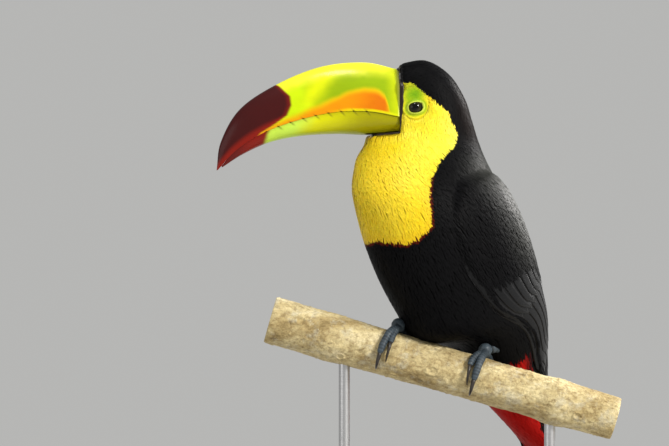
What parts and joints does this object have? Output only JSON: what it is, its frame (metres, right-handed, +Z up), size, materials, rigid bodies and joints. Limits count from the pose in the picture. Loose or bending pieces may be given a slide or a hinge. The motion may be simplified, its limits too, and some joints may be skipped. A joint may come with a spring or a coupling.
{
  "type": "keel-billed toucan on a perch",
  "caption": "Life-size keel-billed toucan sitting on a short sloping branch, held up by a plain oval base and rods; large curved bill, folded wings, hanging tail.",
  "frame": {"origin": "centre of the underside of the stand's base", "axes": "+Z up from the base; -X the way the bill points; -Y the side that the bird's breast is turned towards"},
  "size_m": [0.2911, 0.2009, 0.3943],
  "materials": {
    "plumage": "overlapping feathers, black with a golden yellow bib",
    "bill_horn": "smooth horn, satin gloss",
    "eye": "dark, wet gloss",
    "foot_skin": "scaly blue-grey skin",
    "claw_horn": "dark horn, satin",
    "bark": "thin pale bark",
    "base_wood": "stained and waxed",
    "steel": "brushed"
  },
  "bodies": {
    "root": {"head": "plumage", "neck": "plumage", "trunk": "plumage", "tail": "plumage", "wing_left": "plumage", "wing_right": "plumage", "bill_upper": "bill_horn", "bill_lower": "bill_horn", "eye_left": "eye", "eye_right": "eye", "leg_left": "foot_skin", "leg_right": "foot_skin", "foot_left": "foot_skin", "foot_right": "foot_skin", "claw_left_inner_front": "claw_horn", "claw_left_outer_front": "claw_horn", "claw_left_inner_hind": "claw_horn", "claw_left_outer_hind": "claw_horn", "claw_right_inner_front": "claw_horn", "claw_right_outer_front": "claw_horn", "claw_right_inner_hind": "claw_horn", "claw_right_outer_hind": "claw_horn", "perch": "bark", "stand_base": "base_wood", "stand_rod_left": "steel", "stand_rod_right": "steel"}
  },
  "joints": []
}
